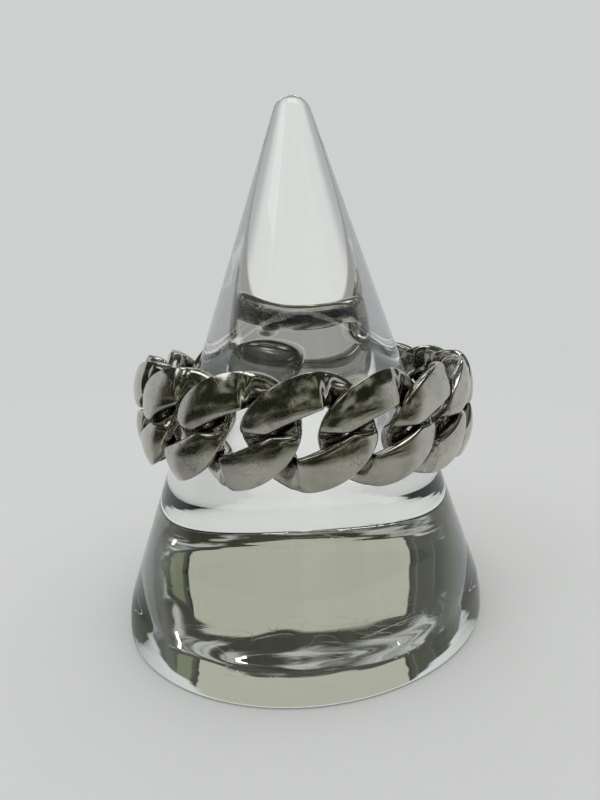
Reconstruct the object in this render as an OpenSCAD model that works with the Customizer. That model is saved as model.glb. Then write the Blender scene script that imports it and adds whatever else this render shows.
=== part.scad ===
/* [Stand] */
// Widest diameter of the cone stand
stand_d = 28.1; // [26:0.1:34]
// Height of the cone stand
stand_h = 38.5; // [34:0.5:46]
// Height at which the foot's side stands upright
stand_foot_h = 0.3; // [0.3:0.1:1.5]
// Radius of the shoulder between the foot's side and the flank
stand_shoulder_r = 8; // [1:0.5:10]
// Radius of the rounded edge under the foot's side
stand_edge_r = 0.2; // [0.1:0.05:0.3]
// Radius of the round tip of the stand
stand_tip_r = 1.45; // [0.8:0.05:2.5]

/* [Ring] */
// Inside diameter of the ring
ring_inner_d = 20.3; // [18:0.1:22]
// Height of the band of links, along the finger
band_h = 7.4; // [6.4:0.1:8]
// Number of links round the ring
link_count = 16; // [15:1:18]
// Turn of the first link round the ring, in degrees
link_turn = 22.1; // [0:0.1:22.4]
// Radius of the crown of the filed outer faces, seen from the side
crown_r = 16; // [10:0.5:30]
// Slack between the ring's inner faces and the stand, along the radius
seat_gap = 0.4; // [0.36:0.01:0.5]
// Tilt of the ring on the stand, in degrees
ring_tilt = 2; // [0:0.1:6]
// Turn of the ring's high side away from the front, in degrees
tilt_turn = 24; // [0:1:45]
// Shift of the ring to one side, within its slack
ring_shift = 0.34; // [0:0.02:0.36]

/* [Link] */
// Thickness of the wire where two links cross, along the ring's radius
wire_t = 1.36; // [1.1:0.01:1.5]
// Thickness of the wire at the two round ends of a link
wire_end_t = 1.75; // [1.4:0.05:1.95]
// Depth filed off the outer and the inner face of the wire
filed_depth = 0.07; // [0.03:0.01:0.14]
// Gap between two links that pass through each other
link_gap = 0.18; // [0.12:0.02:0.26]
// Width of the opening seen between two links, along the chain
window_w = 0.9; // [0.5:0.05:1.3]
// Height of the opening inside a link
eye_h = 3; // [2.8:0.1:3.9]
// How far the top of a link leans along the chain
outer_lean = 0.45; // [0:0.05:0.6]
// How far the top of the opening inside a link leans along the chain
eye_lean = 0.8; // [0.4:0.05:1.1]

/* [Link shape] */
// Roundness of a link's outline: 2 is an ellipse, 1 a diamond
outline_round = 1.85; // [1.6:0.05:2.4]
// Roundness of the opening inside a link, on the same scale
eye_round = 1.15; // [1.05:0.05:1.6]
// Squareness of the wire: 2 is an oval, more is squarer
wire_square = 2.8; // [2:0.1:4]
// How abruptly the wire dives from the outside to the inside
dive_sharpness = 2.2; // [1.6:0.1:3]
// Turn of the dives round the link, in degrees
dive_turn = 2; // [0:1:10]
// Extra share of the link that lies on the outside
raised_share = 0.24; // [0.1:0.01:0.26]
// Steps round one link
link_steps = 32; // [20:4:40]
// Sides of the wire
wire_sides = 6; // [6:2:10]

/* [Hidden] */
stand_tip_z = stand_h - stand_tip_r;
stand_edge_x = stand_d / 2 - stand_edge_r;
shoulder_x = stand_d / 2 - stand_shoulder_r;
tip_at = [0, stand_tip_z];
shoulder_at = [shoulder_x, stand_foot_h];
flank_rise = stand_tip_z - stand_foot_h;
// Angle of the flank's normal above the horizontal
flank_a = acos((stand_tip_r - stand_shoulder_r) / norm(tip_at - shoulder_at))
    - atan2(flank_rise, shoulder_x);
flank_normal = [cos(flank_a), sin(flank_a)];
flank_reach = stand_tip_z * sin(flank_a) + stand_tip_r;

inner_r = ring_inner_d / 2;
band_t = 2 * wire_t + link_gap - 2 * filed_depth;
outer_r = inner_r + band_t;
mid_r = (inner_r + outer_r) / 2;
wire_lift = (wire_t + link_gap) / 2;
pitch = 2 * PI * mid_r / link_count;
outline_l = pitch - window_w / 2;
outline_h = band_h / 2;
eye_l = (pitch + link_gap) / 2;
// Share of half the band's height at which the filed inner faces end
inner_face_share = 0.71;
// The lower edge of the inner faces lies on the flank, less the slack
seat_r = inner_r - seat_gap;
// A tilted ring also lies off the axis, towards its low side
seat_shift = seat_r * tan(flank_a) * tan(ring_tilt);
seat = [
    seat_shift * sin(tilt_turn) + ring_shift,
    seat_shift * cos(tilt_turn),
    flank_z(seat_r) - seat_shift * tan(ring_tilt)
];

// Height at which the stand's flank has the radius r
function flank_z(r) = (flank_reach - r * cos(flank_a)) / sin(flank_a);

// Name of link i, with a leading zero
function link_name(i) = str("link_", i < 10 ? "0" : "", i);

// Cosine or sine v turned into its place on an outline of the given roundness
function rounded(v, roundness) = sign(v) * pow(abs(v), 2 / roundness);

// Point at the turn t on a leaning outline of half sizes l and h
function outline_point(t, l, h, lean, roundness) =
    let (c = rounded(cos(t), roundness), s = rounded(sin(t), roundness))
    [l * c + lean * s, h * s];

// Level of the wire at the turn t: 1 is outside its neighbour, -1 inside it
function wire_level(t) =
    let (w = raised_share - sin(2 * (t + dive_turn)),
         steep = dive_sharpness * w / sqrt(1 + (pow(dive_sharpness, 2) - 1) * w * w))
    max(-1, min(1, steep));

// Radius kept between the filed inner face and the crowned outer face at the height z
function filed(r, z) = max(inner_r, min(outer_r - z * z / (2 * crown_r), r));

// Point of a link at the turn t round the link and the turn q round the wire
function link_point(t, q) =
    let (out = outline_point(t, outline_l, outline_h, outer_lean, outline_round),
         eye = outline_point(t, eye_l, eye_h / 2, eye_lean, eye_round),
         level = wire_level(t),
         half_t = (wire_t + (wire_end_t - wire_t) * pow(1 - level * level, 2)) / 2,
         flat = (out + eye) / 2 + (out - eye) / 2 * rounded(cos(q), wire_square),
         r = filed(mid_r + wire_lift * level + half_t * rounded(sin(q), wire_square), flat[1]),
         around = flat[0] / mid_r * 180 / PI)
    [r * sin(around), -r * cos(around), flat[1]];

// Solid stand: a foot with a round shoulder, a straight flank and a round tip, turned about the axis
module cone_stand() {
    color("lightcyan", 0.35)
    rotate_extrude($fn = 96)
    intersection() {
        union() {
            polygon([
                [0, 0],
                [stand_edge_x, 0],
                [stand_d / 2, stand_edge_r],
                [stand_d / 2, stand_foot_h],
                shoulder_at + stand_shoulder_r * flank_normal,
                tip_at + stand_tip_r * flank_normal,
                tip_at
            ]);
            translate([stand_edge_x, stand_edge_r])
            circle(stand_edge_r, $fn = 64);
            intersection() {
                translate(shoulder_at)
                circle(stand_shoulder_r, $fn = 180);
                translate([0, stand_foot_h])
                square([stand_d, stand_h]);
            }
            translate(tip_at)
            circle(stand_tip_r, $fn = 64);
        }
        square([stand_d, stand_h]);
    }
}

// One twisted link, swept round its own loop
module link() {
    points = [for (i = [0:link_steps - 1], j = [0:wire_sides - 1])
        link_point(i * 360 / link_steps, j * 360 / wire_sides)];
    function at(i, j) = (i % link_steps) * wire_sides + j % wire_sides;
    polyhedron(points, [for (i = [0:link_steps - 1], j = [0:wire_sides - 1], half = [0, 1])
        half == 0
            ? [at(i, j), at(i + 1, j + 1), at(i + 1, j)]
            : [at(i, j), at(i, j + 1), at(i + 1, j + 1)]]);
}

// Link i in its place round the ring
module ring_link(i) {
    color(i % 2 == 0 ? "silver" : "lightgray")
    translate(seat)
    rotate(ring_tilt, [-cos(tilt_turn), sin(tilt_turn), 0])
    translate([0, 0, inner_face_share * outline_h])
    rotate([0, 0, link_turn + (i - 1) * 360 / link_count])
    link();
}

cone_stand();
for (i = [1:link_count])
    ring_link(i);
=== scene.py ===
"""The looks of a chain link ring on a clear cone stand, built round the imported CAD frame."""
import math

import bpy
import numpy as np
from mathutils import Matrix, Vector, kdtree


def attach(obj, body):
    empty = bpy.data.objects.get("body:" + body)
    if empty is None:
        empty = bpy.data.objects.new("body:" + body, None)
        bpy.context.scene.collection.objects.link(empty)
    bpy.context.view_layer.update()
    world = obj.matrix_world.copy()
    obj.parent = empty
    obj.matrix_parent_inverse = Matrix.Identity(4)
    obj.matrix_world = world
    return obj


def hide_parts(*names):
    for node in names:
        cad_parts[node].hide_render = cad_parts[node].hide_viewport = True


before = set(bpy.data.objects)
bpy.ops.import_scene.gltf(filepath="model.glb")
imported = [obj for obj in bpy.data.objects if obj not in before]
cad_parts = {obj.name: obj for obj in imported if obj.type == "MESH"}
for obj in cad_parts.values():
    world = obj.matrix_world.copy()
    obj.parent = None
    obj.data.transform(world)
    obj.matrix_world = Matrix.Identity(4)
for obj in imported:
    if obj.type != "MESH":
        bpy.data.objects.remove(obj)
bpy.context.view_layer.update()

MM = 0.001

# Sizes of the stand, in millimetres, as in the part's source
STAND_D = 28.1
STAND_H = 38.5
STAND_FOOT_H = 0.3
STAND_SHOULDER_R = 8.0
STAND_EDGE_R = 0.2
STAND_TIP_R = 1.45

# Sizes of the ring and its links, in millimetres and degrees, as in the part's source
RING_INNER_D = 20.3
BAND_H = 7.4
LINK_COUNT = 16
LINK_TURN = 22.1
CROWN_R = 16.0
SEAT_GAP = 0.4
RING_TILT = 2.0
TILT_TURN = 24.0
RING_SHIFT = 0.34
WIRE_T = 1.36
WIRE_END_T = 1.75
FILED_DEPTH = 0.07
LINK_GAP = 0.18
WINDOW_W = 0.9
EYE_H = 3.0
OUTER_LEAN = 0.45
EYE_LEAN = 0.8
OUTLINE_ROUND = 1.85
EYE_ROUND = 1.15
WIRE_SQUARE = 2.8
DIVE_SHARPNESS = 2.2
DIVE_TURN = 2.0
RAISED_SHARE = 0.24
INNER_FACE_SHARE = 0.71

# What follows from them, as in the part's source
TIP_Z = STAND_H - STAND_TIP_R
EDGE_X = STAND_D / 2 - STAND_EDGE_R
SHOULDER_X = STAND_D / 2 - STAND_SHOULDER_R
RISE = TIP_Z - STAND_FOOT_H
FLANK_A = (math.acos((STAND_TIP_R - STAND_SHOULDER_R) / math.hypot(SHOULDER_X, RISE))
           - math.atan2(RISE, SHOULDER_X))
FLANK_REACH = TIP_Z * math.sin(FLANK_A) + STAND_TIP_R
INNER_R = RING_INNER_D / 2
OUTER_R = INNER_R + 2 * WIRE_T + LINK_GAP - 2 * FILED_DEPTH
MID_R = (INNER_R + OUTER_R) / 2
WIRE_LIFT = (WIRE_T + LINK_GAP) / 2
PITCH = 2 * math.pi * MID_R / LINK_COUNT
OUTLINE_L = PITCH - WINDOW_W / 2
OUTLINE_H = BAND_H / 2
EYE_L = (PITCH + LINK_GAP) / 2
SEAT_R = INNER_R - SEAT_GAP
SEAT_SHIFT = SEAT_R * math.tan(FLANK_A) * math.tan(math.radians(RING_TILT))
SEAT = Vector((SEAT_SHIFT * math.sin(math.radians(TILT_TURN)) + RING_SHIFT,
               SEAT_SHIFT * math.cos(math.radians(TILT_TURN)),
               (FLANK_REACH - SEAT_R * math.cos(FLANK_A)) / math.sin(FLANK_A)
               - SEAT_SHIFT * math.tan(math.radians(RING_TILT))))
TILT_AXIS = Vector((-math.cos(math.radians(TILT_TURN)), math.sin(math.radians(TILT_TURN)), 0))
RING_PLACE = (Matrix.Translation(SEAT) @ Matrix.Rotation(math.radians(RING_TILT), 4, TILT_AXIS)
              @ Matrix.Translation((0, 0, INNER_FACE_SHARE * OUTLINE_H)))

# How finely the links are meshed
LINK_STEPS = 160
SECTION_STEPS = 56
# What the fine links have beyond the solids: domed faces and softened edges, in millimetres
FACE_DOME = 0.16
BAR_DOME_R = 9.0
EDGE_SOFTNESS = 0.09
DIVE_SOFTNESS = 0.6
# Turn of a raised bar's middle round the link, in degrees
BAR_TURN = 135 - DIVE_TURN
# Turn to both sides of it, in radians, from which its direction is taken
BAR_SPREAD = 0.2
# Levels of the wire between which the bar's dome sets in and the dive's softness goes
SAG_LEVELS = (-0.6, 0.2)
SOFT_LEVELS = (0.1, 0.9)
# Distance from a neighbour within which tarnish gathers, in millimetres
CREVICE_REACH = 0.7

# How finely the stand is meshed, and how much narrower it is than the solid's own facets
STAND_STEPS = 256
TIP_STEPS = 25
FLANK_STEPS = 60
SHOULDER_STEPS = 25
EDGE_STEPS = 17
UNDER_SHARES = (0.998, 0.99, 0.75, 0.5, 0.25)
STAND_FIT = 0.9998

# The floor's half width and the thin layer of air under the stand, in millimetres
FLOOR_HALF = 2000.0
FLOOR_GAP = 0.02

# Tones of the silver
SILVER = (0.53, 0.52, 0.475)
WORN_SILVER = (0.42, 0.41, 0.36)
SCRATCHED_SILVER = (0.20, 0.19, 0.165)
# The inner metal's tone is painted shade, drawn where the metal lies deep below the outer face
SHADED_INNER_SILVER = (0.27, 0.255, 0.215)
TARNISH = (0.15, 0.088, 0.045)
# Scales of its noises, in bumps a metre
SCRATCHED_SCALE = 300
PATCH_SCALE = 420
SATIN_SCALE = 700
SWIRL_SCALES = (700, 1500)
DENT_SCALE = 900
STAIN_SCALE = 2200
GRAIN_SCALE = 9000
# Depths below the outer face, in millimetres, over which tarnish and the painted shade that darkens the
# inner metal set in
STAIN_DEPTHS = (0.15, 0.7)
INNER_SHADE_DEPTHS = (1.5, 2.2)
# Share of their own tone that scratches show, and what the metal, stains and scratches have of roughness
SCRATCH_SHARE = 0.45
SATIN_ROUGHNESS = (0.06, 0.13)
STAIN_ROUGHNESS = 0.25
SCRATCH_ROUGHNESS = 0.22
# Heights of grain and scratches beside the dents, and the bump's strength and its distance in metres
GRAIN_HEIGHT = 0.12
SCRATCH_HEIGHT = -0.08
SILVER_BUMP = (0.3, 0.00006)

# Tone of the acrylic, and how strongly it bends light
ACRYLIC = (0.985, 0.99, 0.98)
ACRYLIC_IOR = 1.49
# Scales of its noises, in bumps a metre
SCUFFED_SCALE = 120
WAVE_SCALE = 160
HAIRLINE_SCALES = (150, 320)
TURNING_SCALES = (90, 90, 700)
# Roughness and height of hairline scratches and height of waves, beside the turning marks of the foot
HAIRLINE_ROUGHNESS = 0.10
HAIRLINE_HEIGHT = -0.006
WAVE_HEIGHT = 0.14
ACRYLIC_BUMP = (1.0, 0.00005)
# Heights in metres between which the turning marks fade out
TURNED_TO = (0.0022, 0.0036)

# Tones of the floor: in itself, and the painted light and shade it glows with when seen through the
# acrylic: lighter overall, painted shade to its sides and a painted shadow in a band behind the stand
PALE = (0.62, 0.63, 0.63)
FLOOR_TONE = (0.745, 0.745, 0.74)
PAINTED_LIGHT_SEEN_THROUGH = (0.76, 0.77, 0.765)
PAINTED_SHADE_SEEN_SIDE = (0.42, 0.435, 0.44)
PAINTED_SHADOW_SEEN_BEHIND = (0.20, 0.198, 0.18)
PAINTED_SEEN_SHARE = 0.75
# Where these tones begin and end, in metres from the axis and degrees away from the front
FLOOR_FADE = (0.05, 0.22)
PAINTED_SHADE_TURNS = (144, 158)
PAINTED_SHADOW_FROM = (0.030, 0.034)
PAINTED_SHADOW_TO = (0.046, 0.049)
# How strongly, and from where on in metres, silver mirrors the dim room instead of the floor: the floor
# glows with it for mirrored rays, as a painted reflection and painted shade
NEAR_SHADE = 0.45
SHADE_EDGE = (0.042, 0.06)

# The room in front that the silver mirrors, in degrees round from the front, and its tones
FRONT = (-95, 62)
FRONT_SOFT = 10
FRONT_DARK = (0.026, 0.03, 0.016)
FRONT_GLOW = (0.36, 0.362, 0.295)
# Scale of its patches, and the span of their noise that goes from dark to glow, on the floor, where they
# are a painted reflection, and round about
FLOOR_PATCHES = (11, 0.46, 0.64)
ROOM_PATCHES = (3.2, 0.48, 0.66)

# The room behind, which shows in the stand's foot: the heights in degrees over which its pale
# backdrop ends and its ceiling begins, and its tones
BACKDROP_TOP = (23, 24)
CEILING_FROM = (54, 62)
DARK_ROOM = (0.022, 0.026, 0.015)
DIM_ROOM = (0.075, 0.080, 0.052)
CEILING = (0.12, 0.14, 0.145)
PANEL = (0.40, 0.41, 0.335)
LEFT_STRIP = (0.15, 0.165, 0.10)
RIGHT_STRIP = (0.038, 0.042, 0.02)
SEAM = (0.02, 0.02, 0.014)
GREY_ROOM = (0.08, 0.086, 0.084)
# Least distance behind that the wall's places are shares of
LEAST_DEPTH = 0.001
# Upright bands of its wall, from and to a distance sideways as a share of the distance behind
BAND_SOFT = 0.006
ROOM_BANDS = [
    (-3.0, -1.25, GREY_ROOM), (-0.60, -0.40, RIGHT_STRIP), (-0.437, -0.425, GREY_ROOM),
    (-0.60, -0.585, DIM_ROOM), (-0.40, -0.378, SEAM), (-0.378, 0.495, PANEL),
    (0.495, 0.52, SEAM), (0.55, 0.70, LEFT_STRIP), (1.15, 3.0, GREY_ROOM),
]
# A dark shelf over them with clutter above it, from a height as a share of the distance behind
SHELF_FROM = (0.644, 0.652)
CLUTTER_FROM = (0.666, 0.682)
SHELF_SPAN = (-0.75, 0.85)
SHELF_SOFT = 0.1
SHELF_TONE = (0.035, 0.036, 0.025)
CLUTTER_TONE = (0.42, 0.44, 0.40)

# The point that the lights are turned to, in millimetres
LIGHT_AIM = (0, 0, 15)
# Lights: name, degrees round from the front and above the horizon, distance and size in millimetres,
# power and colour
LIGHTS = [
    ("overhead", 0, 86, 600, (340, 340), 0.75, (1.0, 1.0, 1.0)),
    ("window_left", -60, 50, 260, (90, 90), 0.035, (0.92, 0.97, 1.0)),
    ("lamp_right", 50, 68, 260, (60, 60), 0.02, (1.0, 0.95, 0.84)),
    ("window_back", 194, 39.5, 300, (70, 24), 0.02, (0.85, 0.95, 1.0)),
    ("lamp_back", 173, 40, 300, (24, 18), 0.008, (1.0, 0.92, 0.72)),
    ("lamp_side", 145.5, 29, 300, (8, 10), 0.0005, (1.0, 0.90, 0.66)),
    ("lamp_low", 166, 33.5, 300, (12, 2), 0.00016, (1.0, 0.90, 0.66)),
    ("lamp_high", 199, 33, 300, (8, 3), 0.00016, (1.0, 0.90, 0.66)),
]

# The camera: its place in millimetres, its pan, tilt and roll in degrees, and its lens
CAMERA_PLACE = Vector((0, -46.36, 26.13))
CAMERA_TURNS = (5.857, 11.964, -0.925)
CAMERA_LENS = 27
CAMERA_SENSOR = 36
CAMERA_SHIFT = -0.079
CAMERA_CLIP = (0.001, 10)


def rounded(v, roundness):
    """Cosine or sine v turned into its place on an outline of the given roundness."""
    return np.sign(v) * np.abs(v) ** (2 / roundness)


def outline_point(t, length, height, lean, roundness):
    """Points at the turns t on a leaning outline of the given half sizes."""
    c, s = rounded(np.cos(t), roundness), rounded(np.sin(t), roundness)
    return np.stack([length * c + lean * s, height * s], -1)


def link_edges(t):
    """Points at the turns t on a link's outer outline and on the opening inside it."""
    return (outline_point(t, OUTLINE_L, OUTLINE_H, OUTER_LEAN, OUTLINE_ROUND),
            outline_point(t, EYE_L, EYE_H / 2, EYE_LEAN, EYE_ROUND))


def wire_level(t):
    """Level of the wire at the turns t: 1 is outside its neighbour, -1 inside it."""
    w = RAISED_SHARE - np.sin(2 * (t + math.radians(DIVE_TURN)))
    steep = DIVE_SHARPNESS * w / np.sqrt(1 + (DIVE_SHARPNESS ** 2 - 1) * w * w)
    return np.clip(steep, -1, 1)


def soft_min(a, b, soft):
    """The lesser of a and b, with the corner between them rounded over."""
    return (a + b - np.sqrt((a - b) ** 2 + soft ** 2)) / 2


def smooth_step(v, low, high):
    """0 below low, 1 above high and smooth between them."""
    s = np.clip((v - low) / (high - low), 0, 1)
    return s * s * (3 - 2 * s)


def bar_line():
    """Middle and direction of a link's raised bar, seen from outside."""
    out, eye = link_edges(math.radians(BAR_TURN) + np.array([-BAR_SPREAD, 0.0, BAR_SPREAD]))
    before, middle, after = (out + eye) / 2
    along = before - after
    return middle, along / np.hypot(*along)


def bar_sag(flat, level):
    """How far a raised bar's outer face falls off towards its two ends."""
    middle, along = bar_line()
    side = np.sign(flat[..., 1] * along[0] - flat[..., 0] * along[1])
    off = flat @ along - side * (middle @ along)
    return off ** 2 / (2 * BAR_DOME_R) * smooth_step(level, *SAG_LEVELS)


def link_grid():
    """Points of one link in millimetres, with the depth of each below the ring's outer face."""
    t = np.linspace(0, 2 * math.pi, LINK_STEPS, endpoint=False)[:, None]
    q = np.linspace(0, 2 * math.pi, SECTION_STEPS, endpoint=False)[None, :]
    size = (np.abs(np.cos(q)) ** WIRE_SQUARE + np.abs(np.sin(q)) ** WIRE_SQUARE) ** (-1 / WIRE_SQUARE)
    across, up = np.cos(q) * size, np.sin(q) * size
    out, eye = link_edges(t)
    level = wire_level(t)
    half_t = (WIRE_T + (WIRE_END_T - WIRE_T) * (1 - level * level) ** 2) / 2
    flat = (out + eye) / 2 + (out - eye) / 2 * across[..., None]
    x, z = flat[..., 0], flat[..., 1]
    face = OUTER_R - z * z / (2 * CROWN_R)
    r = MID_R + WIRE_LIFT * level + half_t * up
    soft = EDGE_SOFTNESS + DIVE_SOFTNESS * (1 - smooth_step(level, *SOFT_LEVELS))
    r = soft_min(r, face - FACE_DOME * across ** 2 - bar_sag(flat, level), soft)
    r = -soft_min(-r, np.full_like(r, -INNER_R), EDGE_SOFTNESS)
    turn = x / MID_R
    points = np.stack([r * np.sin(turn), -r * np.cos(turn), z], -1)
    return points.reshape(-1, 3), (face - r).reshape(-1)


def grid_faces(rows, columns):
    """Faces of a closed tube of rows by columns of points."""
    faces = []
    for i in range(rows):
        for j in range(columns):
            k, m = (i + 1) % rows, (j + 1) % columns
            faces.append((i * columns + j, i * columns + m, k * columns + m, k * columns + j))
    return faces


def turned(points, degrees):
    """Points turned about the axis."""
    a = math.radians(degrees)
    c, s = math.cos(a), math.sin(a)
    return points @ np.array([[c, s, 0], [-s, c, 0], [0, 0, 1]])


def mesh_object(name, points, faces, material):
    """A smooth mesh object from points in millimetres."""
    mesh = bpy.data.meshes.new(name)
    mesh.from_pydata((points * MM).tolist(), [], faces)
    mesh.polygons.foreach_set("use_smooth", [True] * len(mesh.polygons))
    mesh.materials.append(material)
    mesh.update()
    piece = bpy.data.objects.new(name, mesh)
    bpy.context.scene.collection.objects.link(piece)
    return piece


def set_values(mesh, name, values):
    """Keeps one number a vertex on the mesh, for its material."""
    mesh.attributes.new(name, "FLOAT", "POINT").data.foreach_set("value", values.astype(np.float32))


def nearness(points, others, reach):
    """1 where a point touches one of the others, and 0 from the given reach on."""
    tree = kdtree.KDTree(len(others))
    for i, p in enumerate(others):
        tree.insert(p, i)
    tree.balance()
    gap = np.array([tree.find(p)[2] for p in points])
    return np.clip(1 - gap / reach, 0, 1)


def build_links(material):
    """The sixteen links of the ring, each in place of its plain CAD node."""
    points, recess = link_grid()
    step = 360 / LINK_COUNT
    beside = np.concatenate([turned(points, step), turned(points, -step)])[::2]
    crevice = nearness(points, beside, CREVICE_REACH)
    faces = grid_faces(LINK_STEPS, SECTION_STEPS)
    for i in range(LINK_COUNT):
        around = turned(points, LINK_TURN + i * step)
        placed = around @ np.array(RING_PLACE.to_3x3()).T + np.array(RING_PLACE.translation)
        name = f"link_{i + 1:02d}"
        piece = mesh_object("fine_" + name, placed, faces, material)
        set_values(piece.data, "recess", recess)
        set_values(piece.data, "crevice", crevice)
        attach(piece, "root")
        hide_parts(name)


def arc(centre, radius, turns):
    """Points on an arc, as radius and height."""
    return [(centre[0] + radius * math.cos(a), centre[1] + radius * math.sin(a)) for a in turns]


def stand_profile():
    """Radius and height of points down the stand, from its tip to the middle of its foot."""
    tip = arc((0, TIP_Z), STAND_TIP_R, np.linspace(math.pi / 2, FLANK_A, TIP_STEPS)[1:])
    bend = arc((SHOULDER_X, STAND_FOOT_H), STAND_SHOULDER_R, np.linspace(FLANK_A, 0, SHOULDER_STEPS))
    edge = arc((EDGE_X, STAND_EDGE_R), STAND_EDGE_R, np.linspace(0, -math.pi / 2, EDGE_STEPS))
    shares = np.linspace(0, 1, FLANK_STEPS)[1:-1, None]
    flank = (1 - shares) * np.array(tip[-1]) + shares * np.array(bend[0])
    under = [(EDGE_X * share, 0.0) for share in UNDER_SHARES]
    return np.concatenate([tip, flank, bend, edge, under]) * [STAND_FIT, 1]


def build_stand(material):
    """The clear cone, as one finely turned solid."""
    profile = stand_profile()
    a = np.linspace(0, 2 * math.pi, STAND_STEPS, endpoint=False)
    rings = [np.stack([r * np.cos(a), r * np.sin(a), np.full_like(a, z)], -1) for r, z in profile]
    points = np.concatenate(rings + [[[0, 0, STAND_H], [0, 0, 0]]])
    top, bottom = len(points) - 2, len(points) - 1
    last = (len(profile) - 1) * STAND_STEPS
    faces = []
    for j in range(STAND_STEPS):
        m = (j + 1) % STAND_STEPS
        faces.append((top, j, m))
        faces.append((bottom, last + m, last + j))
        for upper in range(0, last, STAND_STEPS):
            lower = upper + STAND_STEPS
            faces.append((upper + j, lower + j, lower + m, upper + m))
    piece = mesh_object("clear_cone", points, faces, material)
    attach(piece, "root")
    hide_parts("cone_stand")


class Tree:
    """A short way to write the nodes of a material or of the world."""

    def __init__(self, owner, coordinates):
        owner.use_nodes = True
        self.nodes, self.links = owner.node_tree.nodes, owner.node_tree.links
        self.place = self.add("ShaderNodeTexCoord").outputs[coordinates]

    def add(self, kind, **sockets):
        """A new node, with its inputs set to numbers or joined to other nodes' outputs."""
        node = self.nodes.new(kind)
        for key, value in sockets.items():
            self.put(node, key.replace("_", " "), value)
        return node

    def put(self, node, key, value):
        """Sets one input of a node, by its name or its number."""
        socket = node.inputs[key]
        if isinstance(value, bpy.types.NodeSocket):
            self.links.new(value, socket)
        else:
            socket.default_value = (*value, 1) if socket.type == "RGBA" else value

    def maths(self, operation, a, b=0.0, clamp=False):
        """The result of one sum on two numbers or outputs."""
        node = self.add("ShaderNodeMath")
        node.operation, node.use_clamp = operation, clamp
        self.put(node, 0, a)
        self.put(node, 1, b)
        return node.outputs[0]

    def times(self, a, b):
        """The product of two numbers or outputs."""
        return self.maths("MULTIPLY", a, b)

    def plus(self, a, b):
        """The sum of two numbers or outputs."""
        return self.maths("ADD", a, b)

    def parts(self):
        """The coordinates x, y and z."""
        return self.add("ShaderNodeSeparateXYZ", Vector=self.place).outputs

    def degrees(self, a, b):
        """The angle whose tangent is a over b, in degrees."""
        return self.times(self.maths("ARCTAN2", a, b), 180 / math.pi)

    def noise(self, scale, detail=2.0, rough=0.5, distortion=0.0, stretch=None):
        """Noise from 0 to 1 with the given number of bumps a unit of length."""
        place = self.place
        if stretch:
            place = self.add("ShaderNodeMapping", Vector=place, Scale=stretch).outputs[0]
        return self.add("ShaderNodeTexNoise", Vector=place, Scale=scale, Detail=detail,
                        Roughness=rough, Distortion=distortion).outputs["Fac"]

    def ramp(self, value, low, high, to_low=0.0, to_high=1.0):
        """A value brought from the span low..high to to_low..to_high, smoothly."""
        node = self.add("ShaderNodeMapRange")
        node.interpolation_type = "SMOOTHSTEP"
        for key, v in enumerate((value, low, high, to_low, to_high)):
            self.put(node, key, v)
        return node.outputs[0]

    def fall(self, value, low, high):
        """1 where a value is below low, and 0 above high."""
        return self.ramp(value, low, high, 1.0, 0.0)

    def band(self, value, low, high, soft):
        """1 where a value lies between low and high, with soft edges."""
        above = self.ramp(value, low - soft, low + soft)
        return self.times(above, self.fall(value, high - soft, high + soft))

    def mix(self, share, a, b):
        """Colour a with the given share of colour b."""
        node = self.add("ShaderNodeMix")
        node.data_type = "RGBA"
        for key, v in ((0, share), (6, a), (7, b)):
            self.put(node, key, v)
        return node.outputs[2]

    def emission(self, colour):
        """A shader that shows a colour as it is."""
        return self.add("ShaderNodeEmission", Color=colour).outputs[0]

    def blend(self, share, a, b):
        """Shader a with the given share of shader b."""
        node = self.add("ShaderNodeMixShader", Fac=share)
        self.put(node, 1, a)
        self.put(node, 2, b)
        return node.outputs[0]

    def hairlines(self, scale, width, distortion, stretch=None):
        """Thin winding lines: where a noise passes its middle value."""
        noise = self.noise(scale, 1.0, 0.5, distortion, stretch)
        return self.fall(self.maths("ABSOLUTE", self.maths("SUBTRACT", noise, 0.5)), 0.0, width)

    def values(self, name):
        """One number a vertex that the mesh keeps."""
        node = self.add("ShaderNodeAttribute")
        node.attribute_name = name
        return node.outputs["Fac"]

    def bump(self, height, strength, distance):
        """A normal from a height."""
        node = self.add("ShaderNodeBump", Height=height, Strength=strength, Distance=distance)
        return node.outputs[0]


def new_material(name):
    """A new material with its nodes and its shader."""
    material = bpy.data.materials.new(name)
    tree = Tree(material, "Object")
    return material, tree, tree.nodes["Principled BSDF"]


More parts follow.
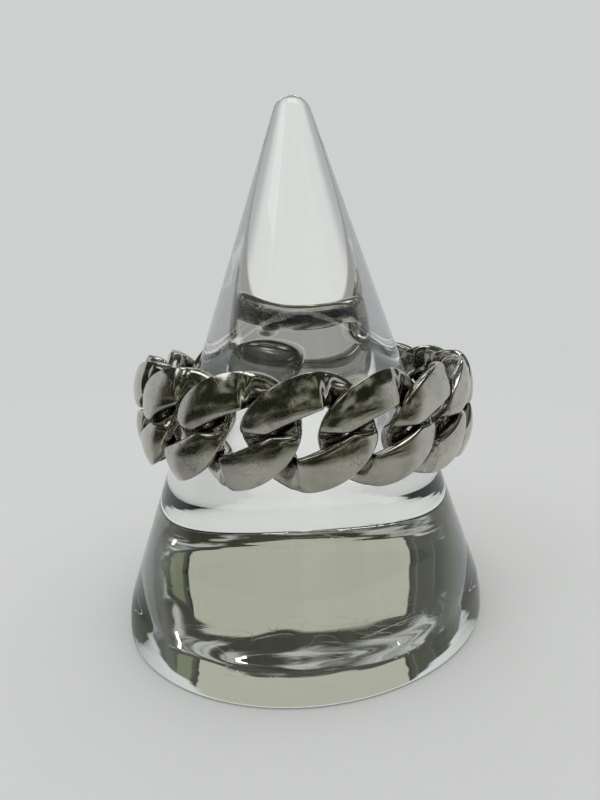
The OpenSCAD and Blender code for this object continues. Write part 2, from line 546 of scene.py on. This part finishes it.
def silver_material():
    """Polished silver with fine swirl scratches, brown tarnish where two links meet, and painted shade
    on the metal deep below the outer face.
    """
    material, tree, shader = new_material("worn_silver_painted_shade")
    recess = tree.values("recess")

    patches = tree.ramp(tree.noise(PATCH_SCALE, 3.0, 0.6), 0.38, 0.66)
    wide, fine = SWIRL_SCALES
    swirls = tree.maths("MAXIMUM", tree.hairlines(wide, 0.016, 1.5), tree.hairlines(fine, 0.02, 1.2))
    scratches = tree.times(swirls, tree.ramp(tree.noise(SCRATCHED_SCALE), 0.38, 0.56))
    uneven = tree.times(tree.maths("SUBTRACT", tree.noise(STAIN_SCALE, 3.0), 0.5), 0.5)
    crevice = tree.ramp(tree.plus(tree.values("crevice"), uneven), 0.38, 0.8)
    stain = tree.times(crevice, tree.ramp(recess, *STAIN_DEPTHS))

    metal = tree.mix(patches, SILVER, WORN_SILVER)
    metal = tree.mix(tree.times(scratches, SCRATCH_SHARE), metal, SCRATCHED_SILVER)
    # Painted shade: the metal deep below the outer face turns darker
    metal = tree.mix(tree.ramp(recess, *INNER_SHADE_DEPTHS), metal, SHADED_INNER_SILVER)
    tree.put(shader, "Base Color", tree.mix(stain, metal, TARNISH))
    tree.put(shader, "Metallic", 1.0)

    satin = tree.ramp(tree.noise(SATIN_SCALE, 4.0, 0.6), 0.3, 0.7, *SATIN_ROUGHNESS)
    rough = tree.plus(satin, tree.times(stain, STAIN_ROUGHNESS))
    tree.put(shader, "Roughness", tree.plus(rough, tree.times(scratches, SCRATCH_ROUGHNESS)))

    grain = tree.times(tree.noise(GRAIN_SCALE, 3.0, 0.6), GRAIN_HEIGHT)
    height = tree.plus(tree.plus(grain, tree.noise(DENT_SCALE)), tree.times(scratches, SCRATCH_HEIGHT))
    tree.put(shader, "Normal", tree.bump(height, *SILVER_BUMP))
    return material


def acrylic_material():
    """Clear moulded acrylic with hairline scratches and a faint unevenness."""
    material, tree, shader = new_material("clear_acrylic")
    tree.put(shader, "Base Color", ACRYLIC)
    tree.put(shader, "Transmission Weight", 1.0)
    tree.put(shader, "IOR", ACRYLIC_IOR)

    wide, fine = HAIRLINE_SCALES
    hairlines = tree.maths("MAXIMUM", tree.hairlines(wide, 0.004, 0.2, (1, 1, 6)),
                           tree.hairlines(fine, 0.004, 0.2, (1, 1, 5)))
    marks = tree.times(hairlines, tree.ramp(tree.noise(SCUFFED_SCALE), 0.46, 0.62))
    tree.put(shader, "Roughness", tree.times(marks, HAIRLINE_ROUGHNESS))

    waves = tree.times(tree.noise(WAVE_SCALE, 1.0), WAVE_HEIGHT)
    turning = tree.noise(1.0, stretch=TURNING_SCALES)
    turning = tree.times(turning, tree.fall(tree.parts()[2], *TURNED_TO))
    height = tree.plus(tree.plus(waves, tree.times(marks, HAIRLINE_HEIGHT)), turning)
    tree.put(shader, "Normal", tree.bump(height, *ACRYLIC_BUMP))
    return material


def front_room(tree, scale, low, high):
    """The dim room in front: dark with soft lighter patches."""
    return tree.mix(tree.ramp(tree.noise(scale), low, high), FRONT_DARK, FRONT_GLOW)


def front_turn(tree, x, y):
    """Degrees round from the front, and the share of the room in front there."""
    turn = tree.degrees(x, tree.times(y, -1.0))
    return turn, tree.band(turn, *FRONT, FRONT_SOFT)


def floor_material():
    """A pale floor. Silver mirrors it in front as a dim glowing room, a painted reflection and shade,
    and through acrylic it glows with other tones of painted light, shade and shadow.
    """
    material, tree, shader = new_material("pale_floor_painted_light")
    tree.put(shader, "Base Color", FLOOR_TONE)
    tree.put(shader, "Roughness", 0.9)
    tree.put(shader, "Specular IOR Level", 0.2)
    path = tree.add("ShaderNodeLightPath").outputs
    x, y, _ = tree.parts()
    turn, front = front_turn(tree, x, y)
    length = tree.add("ShaderNodeVectorMath")
    length.operation = "LENGTH"
    tree.put(length, 0, tree.place)
    away = length.outputs["Value"]

    plain = tree.blend(tree.ramp(away, *FLOOR_FADE), shader.outputs[0], tree.emission(PALE))

    # Painted light and shade for rays through the acrylic: the floor glows lighter, with painted shade
    # to its sides and a painted shadow in a band behind the stand
    side = tree.fall(tree.maths("ABSOLUTE", turn), *PAINTED_SHADE_TURNS)
    behind = tree.times(tree.ramp(y, *PAINTED_SHADOW_FROM), tree.fall(y, *PAINTED_SHADOW_TO))
    painted_seen = tree.mix(behind, tree.mix(side, PAINTED_LIGHT_SEEN_THROUGH, PAINTED_SHADE_SEEN_SIDE), PAINTED_SHADOW_SEEN_BEHIND)
    plain = tree.blend(tree.times(path["Is Transmission Ray"], PAINTED_SEEN_SHARE), plain, tree.emission(painted_seen))

    # Painted reflection and shade: for rays mirrored off the silver, the floor in front glows as the dim
    # room instead of showing itself
    mirrored = tree.maths("SUBTRACT", path["Is Glossy Ray"], path["Is Transmission Ray"], clamp=True)
    dim = tree.times(tree.times(front, tree.ramp(away, *SHADE_EDGE, NEAR_SHADE, 1.0)), mirrored)
    shown = tree.blend(dim, plain, tree.emission(front_room(tree, *FLOOR_PATCHES)))
    tree.put(tree.nodes["Material Output"], "Surface", shown)
    return material


def build_floor():
    """A plain floor just under the stand's foot, which far off fades into the surround's own tone."""
    half = FLOOR_HALF
    corners = [(-half, -half), (half, -half), (half, half), (-half, half)]
    points = np.array([(x, y, -FLOOR_GAP) for x, y in corners])
    floor = mesh_object("floor", points, [(0, 1, 2, 3)], floor_material())


def back_room(tree, x, y, z):
    """The room behind: upright bands on a dim wall, with a dark shelf and clutter above them."""
    depth = tree.maths("MAXIMUM", y, LEAST_DEPTH)
    across, rise = tree.maths("DIVIDE", x, depth), tree.maths("DIVIDE", z, depth)
    wall = tree.mix(tree.ramp(tree.noise(6.0), 0.4, 0.65), DARK_ROOM, DIM_ROOM)
    for left, right, tone in ROOM_BANDS:
        wall = tree.mix(tree.band(across, left, right, BAND_SOFT), wall, tone)
    over = tree.band(across, *SHELF_SPAN, SHELF_SOFT)
    wall = tree.mix(tree.times(over, tree.ramp(rise, *SHELF_FROM)), wall, SHELF_TONE)
    streaks = tree.noise(2.5, detail=3.0, rough=0.6, distortion=0.6, stretch=(1, 1, 14))
    clutter = tree.mix(tree.ramp(streaks, 0.42, 0.60), SHELF_TONE, CLUTTER_TONE)
    return tree.mix(tree.times(over, tree.ramp(rise, *CLUTTER_FROM)), wall, clutter)


def build_surround():
    """A surround that is pale to the camera. Silver and acrylic see a dim room over a pale backdrop."""
    world = bpy.data.worlds.new("surround")
    bpy.context.scene.world = world
    tree = Tree(world, "Generated")
    x, y, z = tree.parts()
    _, front = front_turn(tree, x, y)
    flat = tree.maths("SQRT", tree.plus(tree.times(x, x), tree.times(y, y)))
    height = tree.degrees(z, flat)

    room = tree.mix(front, back_room(tree, x, y, z), front_room(tree, *ROOM_PATCHES))
    room = tree.mix(tree.ramp(height, *CEILING_FROM), room, CEILING)
    backdrop = tree.times(tree.fall(height, *BACKDROP_TOP), tree.maths("SUBTRACT", 1.0, front))
    room = tree.mix(backdrop, room, PALE)

    path = tree.add("ShaderNodeLightPath").outputs
    plain = tree.maths("MAXIMUM", path["Is Camera Ray"], path["Is Diffuse Ray"])
    tree.put(tree.nodes["Background"], "Color", tree.mix(plain, room, PALE))


def add_light(name, turn, height, distance, size, power, colour):
    """A soft light, at degrees round from the front and above the horizon, turned towards the ring."""
    a, e = math.radians(turn), math.radians(height)
    back = Vector((math.sin(a) * math.cos(e), -math.cos(a) * math.cos(e), math.sin(e)))
    data = bpy.data.lights.new(name, "AREA")
    data.shape, data.energy, data.color = "RECTANGLE", power, colour
    data.size, data.size_y = size[0] * MM, size[1] * MM
    light = bpy.data.objects.new(name, data)
    light.location = (Vector(LIGHT_AIM) + back * distance) * MM
    light.rotation_mode = "QUATERNION"
    light.rotation_quaternion = (-back).to_track_quat("-Z", "Y")
    bpy.context.scene.collection.objects.link(light)


def build_lights():
    """Soft studio light: one large light from above and a few smaller ones."""
    for light in LIGHTS:
        add_light(*light)
    bpy.context.scene.view_settings.view_transform = "Standard"


def build_camera():
    """A camera where the photograph was taken from, in front of the stand and above its middle."""
    pan, tilt, roll = (math.radians(a) for a in CAMERA_TURNS)
    ahead = Vector((math.sin(pan) * math.cos(tilt), math.cos(pan) * math.cos(tilt), -math.sin(tilt)))
    right = Vector((math.cos(pan), -math.sin(pan), 0))
    up = right.cross(ahead)
    x = math.cos(roll) * right + math.sin(roll) * up
    y = math.cos(roll) * up - math.sin(roll) * right
    data = bpy.data.cameras.new("camera")
    data.sensor_width, data.lens, data.shift_x = CAMERA_SENSOR, CAMERA_LENS, CAMERA_SHIFT
    data.clip_start, data.clip_end = CAMERA_CLIP
    camera = bpy.data.objects.new("camera", data)
    turns = Matrix((x, y, -ahead)).transposed().to_4x4()
    camera.matrix_world = Matrix.Translation(CAMERA_PLACE * MM) @ turns
    bpy.context.scene.collection.objects.link(camera)
    bpy.context.scene.camera = camera


build_camera()
build_floor()
build_surround()
build_lights()
build_links(silver_material())
build_stand(acrylic_material())
